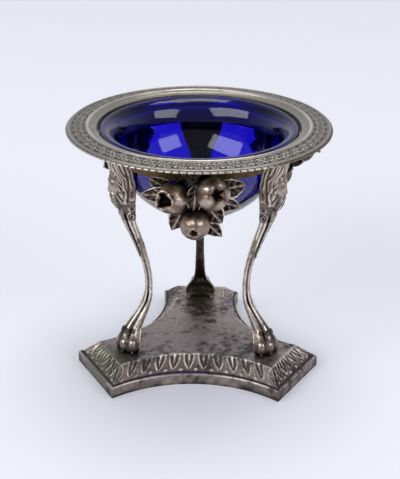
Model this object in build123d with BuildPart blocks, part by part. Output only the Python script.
"""Tripod salt cellar: struck and cast silver with a loose cobalt glass liner.

A hollow plinth with three hollowed sides carries three cast legs. Each leg is a lion's paw that thins to
a waist and rises to a bearded head under the rim. A pressed rim joins the three legs and holds the lip of
the glass. A spray of leaves with a pomegranate and two apples hangs from the rim between each two legs.

Millimetres, +Z up. The origin is on the axis of the bowl, on the surface that the plinth stands on. The
front of the object is towards -Y.
"""

import os
from math import cos, pi, radians, sin, sqrt

from build123d import *

os.makedirs("parts", exist_ok=True)

# Plinth, struck from sheet and open underneath
corner_reach = 40.4  # axis to the foot of each cut-off corner
corner_half = 14.35  # half the width of a cut-off corner at its foot
side_reach = 22.3  # axis to the middle of a hollow side at its foot
slope_run = 5.8  # how far the top plate lies inside the foot, measured in plan
corner_taper = 5.4  # how much narrower half a corner is at the top plate
fascia_height = 4.1  # upright band at the foot
fascia_round = 0.9  # rounding of the top edge of that band
ledge_flat = 0.2  # flat step between that rounding and the ornamented slope
plinth_height = 8.6
plinth_wall = 0.9

# Legs
leg_height = 73.6  # sole of the paw to the underside of the rim
foot_setback = 6.0  # edge of the top plate to the middle of the paw
waist_bow = 4.8  # how far the waist bends in towards the axis
waist_bias = 0.72  # below 1 the waist sits below the middle of the shaft
waist_half_depth = 1.0
waist_half_width = 1.45
shaft_slices = 6
head_radius = 3.4
head_half_height = 5.0
head_drop = 11.2  # underside of the rim to the middle of the head
head_setback = 3.4  # middle of the head inside the middle of the leg's top
scroll_radius = 1.5
scroll_half_width = 2.9
scroll_drop = 22.0
scroll_setback = 5.6
toe_radius = 1.5
toe_length = 3.2
toe_pitch = 2.2
toe_count = 4
toe_rise = 1.2  # axis of a toe above the sole
toe_start = -0.3  # middle of a toe from the middle of the paw
scoop_radius = 4.2  # ball that hollows the back of the paw
scoop_setback = 5.0  # middle of that ball inside the middle of the paw
scoop_rise = 4.6

# Slices of the paw: rise from the sole, back and front from the middle of the paw, half width
PAW_SLICES = (
    (0.0, -2.8, 1.6, 4.4),
    (2.0, -2.9, 2.2, 5.4),
    (4.0, -3.1, 2.4, 5.2),
    (6.0, -3.8, 1.6, 4.2),
    (8.0, -4.8, 0.2, 3.0),
    (10.0, -6.1, -1.3, 2.3),
    (12.5, -7.6, -3.5, 1.9),
)
# Slices of the head and crest: drop from the rim, back and front from the middle of the leg's top, half width
HEAD_SLICES = (
    (25.0, -7.9, -4.3, 2.4),
    (19.1, -7.5, -2.5, 3.0),
    (14.0, -7.1, -1.6, 4.2),
    (9.2, -6.3, -1.1, 6.0),
    (5.2, -5.0, -0.4, 7.3),
    (0.0, -3.9, 0.6, 8.0),
)

# Fixing of the legs: a stud soldered into each paw, drawn down by a washer and nut inside the plinth
stud_radius = 1.2
stud_depth = 4.2  # length inside the paw
stud_offset = 0.6  # stud axis outside the middle of the paw
stud_clearance = 0.05
washer_radius = 2.8
washer_thickness = 0.6
nut_across_flats = 4.4
nut_thickness = 2.0
stud_end = 0.5  # length of stud that shows below the nut

# Glass liner
bowl_radius = 28.4
bowl_depth = 25.9  # neck to the ground flat underneath
base_radius = 8.0  # that flat
floor_radius = 6.0  # level floor inside
glass_wall = 2.1
glass_base = 3.2
lip_flare = 1.6  # radius of the outward turn under the lip
lip_overhang = 4.6  # neck to the edge of the lip
lip_thickness = 2.6
lip_band = 1.7  # width of the rounded top of the lip
lip_round = 1.0
throat_share = 0.18  # share of the bowl's inside, from the neck down, that the flare takes up
FLARE_BEND = ((0.43, 0.15), (0.68, 0.36), (0.85, 0.61))  # shares of the flare's run and drop, lip to throat
liner_clearance = 0.5  # glass to legs and collar

# Rim, pressed from sheet
rim_sheet = 0.9
lip_gap = 0.75  # lip of the glass to the wall of the well
ledge_gap = 0.4  # turn of the glass to the edge of the ledge
well_depth = 2.8  # seat of the glass to the foot of the cavetto
cavetto_width = 2.4
cavetto_rise = 0.8
bead_width = 1.15
bead_height = 0.45
band_width = 5.1  # flat band that carries the stamped ornament
band_fall = 0.6  # how far the band drops towards its edge
collar_drop = 5.0  # collar round the neck of the glass, below the underside of the rim
solder_gap = 0.05  # collar to the backs of the legs and sprays
border_width = 1.6  # applied milled wire round the edge
border_height = 1.5

# Fruit sprays
spray_setback = 0.6  # back of a spray outside the edge of the ledge
spray_lean = 12.0  # degrees that a spray leans out at the top
leaf_thickness = 1.0
boss_thickness = 2.4
boss_half_width = 8.5
boss_half_height = 8.0
boss_drop = 9.5
boss_shift = -1.0
tail_half_width = 3.0  # stalk behind the lowest fruit
tail_length = 21.0
hanger_half_width = 4.0
pomegranate_radius = 4.7
crown_radius = 2.3
crown_bore = 1.4
crown_length = 1.7
upper_apple_radius = 5.3
lower_apple_radius = 4.7
stalk_hollow_radius = 2.6  # hollow at the stalk of the upper apple
stalk_hollow_depth = 2.2
eye_hollow_radius = 1.5  # eye of the lower apple
eye_hollow_depth = 1.0
hollow_floor = 0.5  # radius of the floor of either hollow

# Leaves of a spray as base, tip and half width: sideways from its middle, then up from the rim's underside
LEAVES = (
    (6.0, -7.5, 15.3, -4.6, 2.7),
    (4.0, -10.5, 13.7, -13.0, 2.4),
    (2.5, -12.0, 8.8, -17.0, 2.3),
    (1.0, -17.5, 8.2, -24.6, 2.2),
    (-3.0, -12.5, -7.8, -22.4, 2.5),
    (-6.0, -9.0, -17.2, -9.0, 2.3),
    (-7.0, -8.0, -14.6, -2.6, 2.0),
    (-5.0, -12.0, -12.4, -13.2, 2.2),
)

# Places of the fruits: outside the well wall, sideways, below the rim, and the way each one faces
POMEGRANATE_PLACE = (2.0, -7.2, -8.0)
POMEGRANATE_FACING = Vector(0.9, -0.37, 0.22)
UPPER_APPLE_PLACE = (2.4, 5.2, -6.1)
UPPER_APPLE_FACING = Vector(0.86, 0.42, 0.27)
LOWER_APPLE_PLACE = (-2.2, -0.3, -18.6)
LOWER_APPLE_FACING = Vector(0.97, -0.05, -0.24)

# Turns about the axis, in degrees: a leg every third of a turn, and a spray opposite each leg
rear_turn = 90.0
LEG_TURNS = {"leg_rear": rear_turn, "leg_left": rear_turn + 120, "leg_right": rear_turn + 240}
SPRAY_TURNS = {"front": rear_turn + 180, "right": rear_turn - 60, "left": rear_turn + 60}

# Sizes that follow from those above
ledge = fascia_round + ledge_flat
top_corner_reach = corner_reach - slope_run
foot_reach = top_corner_reach - foot_setback
stud_reach = foot_reach + stud_offset
under_z = plinth_height + leg_height
seat_z = under_z + rim_sheet
neck_z = seat_z - lip_flare
base_z = neck_z - bowl_depth
lip_top_z = seat_z + lip_thickness
lip_radius = bowl_radius + lip_overhang
well_radius = lip_radius + lip_gap
ledge_radius = bowl_radius + lip_flare + ledge_gap
bead_radius = well_radius + cavetto_width
band_radius = bead_radius + bead_width
border_radius = band_radius + band_width
rim_radius = border_radius + border_width
cavetto_z = seat_z + well_depth
bead_z = cavetto_z + cavetto_rise
band_edge_z = bead_z - band_fall
collar_radius = bowl_radius + liner_clearance
collar_outside = collar_radius + rim_sheet
collar_z = under_z - collar_drop
leg_top_reach = (ledge_radius + well_radius + rim_sheet) / 2
spray_reach = ledge_radius + spray_setback


def plinth_outline(inset, height):
    """Plan of the plinth at a height: three straight corners and three arcs hollowed towards the axis."""
    reach = corner_reach - inset
    half = corner_half - corner_taper * inset / slope_run
    with BuildSketch(Plane.XY.offset(height)) as plan:
        with BuildLine():
            for turn in LEG_TURNS.values():
                start = Vector(reach, -half).rotate(Axis.Z, turn)
                end = Vector(reach, half).rotate(Axis.Z, turn)
                middle = Vector(side_reach - inset, 0).rotate(Axis.Z, turn + 60)
                following = Vector(reach, -half).rotate(Axis.Z, turn + 120)
                Line(start, end)
                ThreePointArc(end, middle, following)
        make_face()
    return plan.sketch


def leg_section(height, back, front, half):
    """Half-round slice of a leg: flat at the back, an ellipse at the front."""
    with BuildSketch(Plane.XY.offset(height)) as slice_:
        with BuildLine():
            round_front = EllipticalCenterArc((back, 0), front - back, half, -90, arc_size=180)
            Line(round_front @ 1, round_front @ 0)
        make_face()
    return slice_.sketch


def slice_sizes(level, upwards, anchor, row):
    """Height, middle, half depth and half width of a leg slice from its row of sizes."""
    away, back, front, half = row
    return level + upwards * away, anchor + (back + front) / 2, (front - back) / 2, half


def fruit_plane(place, facing):
    """Plane for the profile of a fruit, with Y along the way that the fruit faces."""
    outside, sideways, below = place
    centre = Vector(well_radius + outside, sideways, under_z + below)
    across = Vector(0, 0, 1).cross(facing).normalized()
    return Plane(origin=centre, x_dir=across, z_dir=across.cross(facing))


def export(part, label):
    """Name a finished piece and write its file."""
    part.label = label
    export_step(part, f"parts/{label}.step")


# Plinth
with BuildPart() as plinth:
    add(plinth_outline(0, 0))
    extrude(amount=fascia_height)
    fillet(plinth.faces().sort_by(Axis.Z)[-1].edges(), fascia_round)
    loft([plinth_outline(ledge, fascia_height), plinth_outline(slope_run, plinth_height)], ruled=True)
    add(plinth_outline(plinth_wall, 0))
    extrude(amount=fascia_height - plinth_wall, mode=Mode.SUBTRACT)
    hollow_foot = plinth_outline(ledge + plinth_wall, fascia_height - plinth_wall)
    hollow_head = plinth_outline(slope_run + plinth_wall, plinth_height - plinth_wall)
    loft([hollow_foot, hollow_head], ruled=True, mode=Mode.SUBTRACT)
    with PolarLocations(stud_reach, len(LEG_TURNS), start_angle=LEG_TURNS["leg_rear"]):
        Cylinder(
            stud_radius + stud_clearance,
            plinth_height,
            align=(Align.CENTER, Align.CENTER, Align.MIN),
            mode=Mode.SUBTRACT,
        )
export(plinth.part, "plinth")

# Space that the glass needs when it is lifted straight out
with BuildPart() as liner_space:
    with BuildSketch(Plane.XZ):
        with BuildLine():
            wide = bowl_radius + liner_clearance
            low = base_z - liner_clearance
            underside = TangentArc((wide, neck_z), (base_radius, low), tangent=(0, -1))
            Polyline(underside @ 1, (0, low), (0, lip_top_z), (wide, lip_top_z), underside @ 0)
        make_face()
    revolve(axis=Axis.Z)

# Space that the collar of the rim takes from the legs and sprays
with BuildPart() as collar_space:
    with Locations((0, 0, collar_z)):
        Cylinder(
            collar_outside + solder_gap,
            collar_drop + rim_sheet,
            align=(Align.CENTER, Align.CENTER, Align.MIN),
        )

# One leg, pointing along +X, lofted through slices from the sole to the rim
leg_slices = []
for rise, back, front, half in PAW_SLICES:
    leg_slices.append(leg_section(plinth_height + rise, foot_reach + back, foot_reach + front, half))
ankle_z, ankle, ankle_depth, ankle_width = slice_sizes(plinth_height, 1, foot_reach, PAW_SLICES[-1])
nape_z, nape, nape_depth, nape_width = slice_sizes(under_z, -1, leg_top_reach, HEAD_SLICES[0])
for index in range(1, shaft_slices + 1):
    along = index / (shaft_slices + 1)
    bend = sin(pi * along**waist_bias)
    middle = ankle + along * (nape - ankle) - waist_bow * bend
    plain_depth = ankle_depth + along * (nape_depth - ankle_depth)
    plain_width = ankle_width + along * (nape_width - ankle_width)
    depth = plain_depth + bend * (waist_half_depth - plain_depth)
    width = plain_width + bend * (waist_half_width - plain_width)
    height = ankle_z + along * (nape_z - ankle_z)
    leg_slices.append(leg_section(height, middle - depth, middle + depth, width))
for drop, back, front, half in HEAD_SLICES:
    leg_slices.append(leg_section(under_z - drop, leg_top_reach + back, leg_top_reach + front, half))

head_centre = Vector(leg_top_reach - head_setback, 0, under_z - head_drop)
scroll_centre = Vector(leg_top_reach - scroll_setback, 0, under_z - scroll_drop)
scoop_centre = Vector(foot_reach - scoop_setback, 0, plinth_height + scoop_rise)
toe_centre = Vector(foot_reach + toe_start, 0, plinth_height + toe_rise)

with BuildPart() as leg:
    loft(leg_slices)
    # Toes side by side at the front of the paw, each spun about its own length
    for index in range(toe_count):
        toe_y = (index - (toe_count - 1) / 2) * toe_pitch
        with BuildSketch(Plane.XZ.offset(-toe_y)):
            with BuildLine():
                toe_middle = (toe_centre.X, toe_centre.Z)
                toe = EllipticalCenterArc(toe_middle, toe_length, toe_radius, 0, arc_size=180)
                Line(toe @ 1, toe @ 0)
            make_face()
        revolve(axis=Axis(toe_centre + Vector(0, toe_y, 0), (1, 0, 0)))
    # Egg-shaped head
    with BuildSketch(Plane.XZ):
        with BuildLine():
            head_middle = (head_centre.X, head_centre.Z)
            egg = EllipticalCenterArc(head_middle, head_radius, head_half_height, -90, arc_size=180)
            Line(egg @ 1, egg @ 0)
        make_face()
    revolve(axis=Axis(head_centre, (0, 0, 1)))
    # Pair of scrolls below the head
    with Locations(scroll_centre):
        Cylinder(scroll_radius, 2 * scroll_half_width, rotation=(90, 0, 0))
    # Hollow at the back of the paw
    with Locations(scoop_centre):
        Sphere(scoop_radius, mode=Mode.SUBTRACT)
    # Blind hole for the stud
    with Locations((stud_reach, 0, plinth_height)):
        Cylinder(
            stud_radius,
            stud_depth,
            align=(Align.CENTER, Align.CENTER, Align.MIN),
            mode=Mode.SUBTRACT,
        )
    add(liner_space.part, mode=Mode.SUBTRACT)
    add(collar_space.part, mode=Mode.SUBTRACT)
    split(bisect_by=Plane.XY.offset(plinth_height), keep=Keep.TOP)
for name, turn in LEG_TURNS.items():
    export(leg.part.rotate(Axis.Z, turn), name)

# Studs, washers and nuts, three of each
top_plate_under = plinth_height - plinth_wall
nut_top = top_plate_under - washer_thickness
nut_under = nut_top - nut_thickness
with BuildPart() as leg_studs:
    with PolarLocations(stud_reach, len(LEG_TURNS), start_angle=LEG_TURNS["leg_rear"]):
        with Locations((0, 0, nut_under - stud_end)):
            Cylinder(
                stud_radius,
                plinth_height + stud_depth - nut_under + stud_end,
                align=(Align.CENTER, Align.CENTER, Align.MIN),
            )
export(leg_studs.part, "leg_studs")

with BuildPart() as leg_washers:
    with BuildSketch(Plane.XY.offset(nut_top)):
        with PolarLocations(stud_reach, len(LEG_TURNS), start_angle=LEG_TURNS["leg_rear"]):
            Circle(washer_radius)
            Circle(stud_radius + stud_clearance, mode=Mode.SUBTRACT)
    extrude(amount=washer_thickness)
export(leg_washers.part, "leg_washers")

with BuildPart() as leg_nuts:
    with BuildSketch(Plane.XY.offset(nut_under)):
        with PolarLocations(stud_reach, len(LEG_TURNS), start_angle=LEG_TURNS["leg_rear"]):
            RegularPolygon(nut_across_flats / 2, 6, major_radius=False)
            Circle(stud_radius, mode=Mode.SUBTRACT)
    extrude(amount=nut_thickness)
export(leg_nuts.part, "leg_nuts")

# Rim: collar and ledge for the glass, upright well wall, cavetto, bead and ornamented band, in one spun profile
with BuildPart() as rim_ring:
    with BuildSketch(Plane.XZ):
        with BuildLine():
            wall_outside = well_radius + rim_sheet
            Polyline(
                (collar_radius, collar_z),
                (collar_radius, under_z),
                (ledge_radius, seat_z),
                (well_radius, seat_z),
                (well_radius, cavetto_z),
            )
            cavetto_middle = (well_radius, bead_z)
            cavetto = EllipticalCenterArc(cavetto_middle, cavetto_width, cavetto_rise, -90, arc_size=90)
            bead = ThreePointArc(
                cavetto @ 1, (bead_radius + bead_width / 2, bead_z + bead_height), (band_radius, bead_z)
            )
            Polyline(
                bead @ 1,
                (border_radius, band_edge_z),
                (border_radius, band_edge_z - rim_sheet),
                (band_radius, bead_z - rim_sheet),
                (bead_radius, bead_z - rim_sheet),
                (wall_outside, cavetto_z - rim_sheet),
                (wall_outside, under_z),
                (collar_outside, under_z),
                (collar_outside, collar_z),
                (collar_radius, collar_z),
            )
        make_face()
    revolve(axis=Axis.Z)
export(rim_ring.part, "rim_ring")

# Milled wire soldered round the edge of the rim
with BuildPart() as beaded_border:
    with BuildSketch(Plane.XZ):
        with BuildLine():
            wire_z = band_edge_z - rim_sheet / 2
            wire = ThreePointArc(
                (border_radius, wire_z - border_height / 2),
                (rim_radius, wire_z),
                (border_radius, wire_z + border_height / 2),
            )
            Line(wire @ 1, wire @ 0)
        make_face()
    revolve(axis=Axis.Z)
export(beaded_border.part, "beaded_border")

# Glass liner, resting with the flat underside of its lip on the ledge of the rim
with BuildPart() as glass_liner:
    with BuildSketch(Plane.XZ):
        with BuildLine():
            outside = TangentArc((bowl_radius, neck_z), (base_radius, base_z), tangent=(0, -1))
            turn_out = CenterArc((bowl_radius + lip_flare, neck_z), lip_flare, 180, -90)
            lip_under = Line(turn_out @ 1, (lip_radius - lip_round, seat_z))
            lower_round = CenterArc((lip_radius - lip_round, seat_z + lip_round), lip_round, -90, 90)
            lip_edge = Line(lower_round @ 1, (lip_radius, lip_top_z - lip_round))
            upper_round = CenterArc((lip_radius - lip_round, lip_top_z - lip_round), lip_round, 0, 90)
            lip_inner = lip_radius - lip_band
            lip_flat = Line(upper_round @ 1, (lip_inner, lip_top_z))
            inside_radius = bowl_radius - glass_wall
            floor_z = base_z + glass_base
            bowl_inside = TangentArc(
                (inside_radius, neck_z), (floor_radius, floor_z), tangent=(0, -1), mode=Mode.PRIVATE
            )
            throat, throat_way = bowl_inside @ throat_share, bowl_inside % throat_share
            flare_run, flare_drop = lip_inner - throat.X, lip_top_z - throat.Y
            flare = Spline(
                (lip_inner, lip_top_z),
                *[(lip_inner - flare_run * run, lip_top_z - flare_drop * drop) for run, drop in FLARE_BEND],
                throat,
                tangents=[(-1, -0.25), throat_way],
            )
            inside = TangentArc(throat, (floor_radius, floor_z), tangent=throat_way)
            Polyline(inside @ 1, (0, floor_z), (0, base_z), outside @ 1)
        make_face()
    revolve(axis=Axis.Z)
export(glass_liner.part, "glass_liner")

# Fruits of one spray, pointing along +X, each spun about its own axis
with BuildPart() as pomegranate:
    plane = fruit_plane(POMEGRANATE_PLACE, POMEGRANATE_FACING)
    with BuildSketch(plane):
        with BuildLine():
            neck = sqrt(pomegranate_radius**2 - crown_bore**2)
            body = ThreePointArc((0, -pomegranate_radius), (pomegranate_radius, 0), (crown_bore, neck))
            crown_tip = pomegranate_radius + crown_length
            crown_wall = (crown_radius - crown_bore) / 2
            Polyline(
                body @ 1,
                (crown_radius, crown_tip),
                (crown_radius - crown_wall, crown_tip),
                (crown_bore - crown_wall, neck),
                (0, neck),
                body @ 0,
            )
        make_face()
    revolve(axis=Axis(plane.origin, plane.y_dir))


def make_apple(plane, radius, mouth, depth):
    """Apple spun about the plane's Y: a round cheek with a funnel-shaped hollow on the axis."""
    brow = sqrt(radius**2 - mouth**2)
    with BuildPart() as apple:
        with BuildSketch(plane):
            with BuildLine():
                cheek = ThreePointArc((0, -radius), (radius, 0), (mouth, brow))
                Polyline(cheek @ 1, (hollow_floor, brow - depth), (0, brow - depth), cheek @ 0)
            make_face()
        revolve(axis=Axis(plane.origin, plane.y_dir))
    return apple.part


upper_plane = fruit_plane(UPPER_APPLE_PLACE, UPPER_APPLE_FACING)
upper_apple = make_apple(upper_plane, upper_apple_radius, stalk_hollow_radius, stalk_hollow_depth)
lower_plane = fruit_plane(LOWER_APPLE_PLACE, LOWER_APPLE_FACING)
lower_apple = make_apple(lower_plane, lower_apple_radius, eye_hollow_radius, eye_hollow_depth)

# Leaves and the boss behind the fruits, on a plane that leans out at the top
lean = radians(spray_lean)
spray_plane = Plane(origin=(spray_reach, 0, under_z), x_dir=(0, 1, 0), z_dir=(cos(lean), 0, -sin(lean)))
with BuildPart() as leaf_spray:
    with BuildSketch(spray_plane):
        for base_u, base_v, tip_u, tip_v, half in LEAVES:
            base = Vector(base_u, base_v)
            tip = Vector(tip_u, tip_v)
            side = (tip - base).rotate(Axis.Z, 90).normalized() * half
            with BuildLine():
                ThreePointArc(base, (base + tip) / 2 + side, tip)
                ThreePointArc(tip, (base + tip) / 2 - side, base)
            make_face()
    extrude(amount=leaf_thickness)
    with BuildSketch(spray_plane):
        with Locations((boss_shift, -boss_drop)):
            Ellipse(boss_half_width, boss_half_height)
        with Locations((0, -boss_drop)):
            Rectangle(2 * hanger_half_width, 2 * boss_drop, align=(Align.CENTER, Align.MIN))
        with Locations((0, -tail_length)):
            Rectangle(2 * tail_half_width, tail_length - boss_drop, align=(Align.CENTER, Align.MIN))
    extrude(amount=boss_thickness)
    add([pomegranate.part, upper_apple, lower_apple, collar_space.part], mode=Mode.SUBTRACT)
    split(bisect_by=Plane.XY.offset(under_z), keep=Keep.BOTTOM)

for side_name, turn in SPRAY_TURNS.items():
    export(leaf_spray.part.rotate(Axis.Z, turn), f"{side_name}_leaf_spray")
    export(pomegranate.part.rotate(Axis.Z, turn), f"{side_name}_pomegranate")
    export(upper_apple.rotate(Axis.Z, turn), f"{side_name}_upper_apple")
    export(lower_apple.rotate(Axis.Z, turn), f"{side_name}_lower_apple")
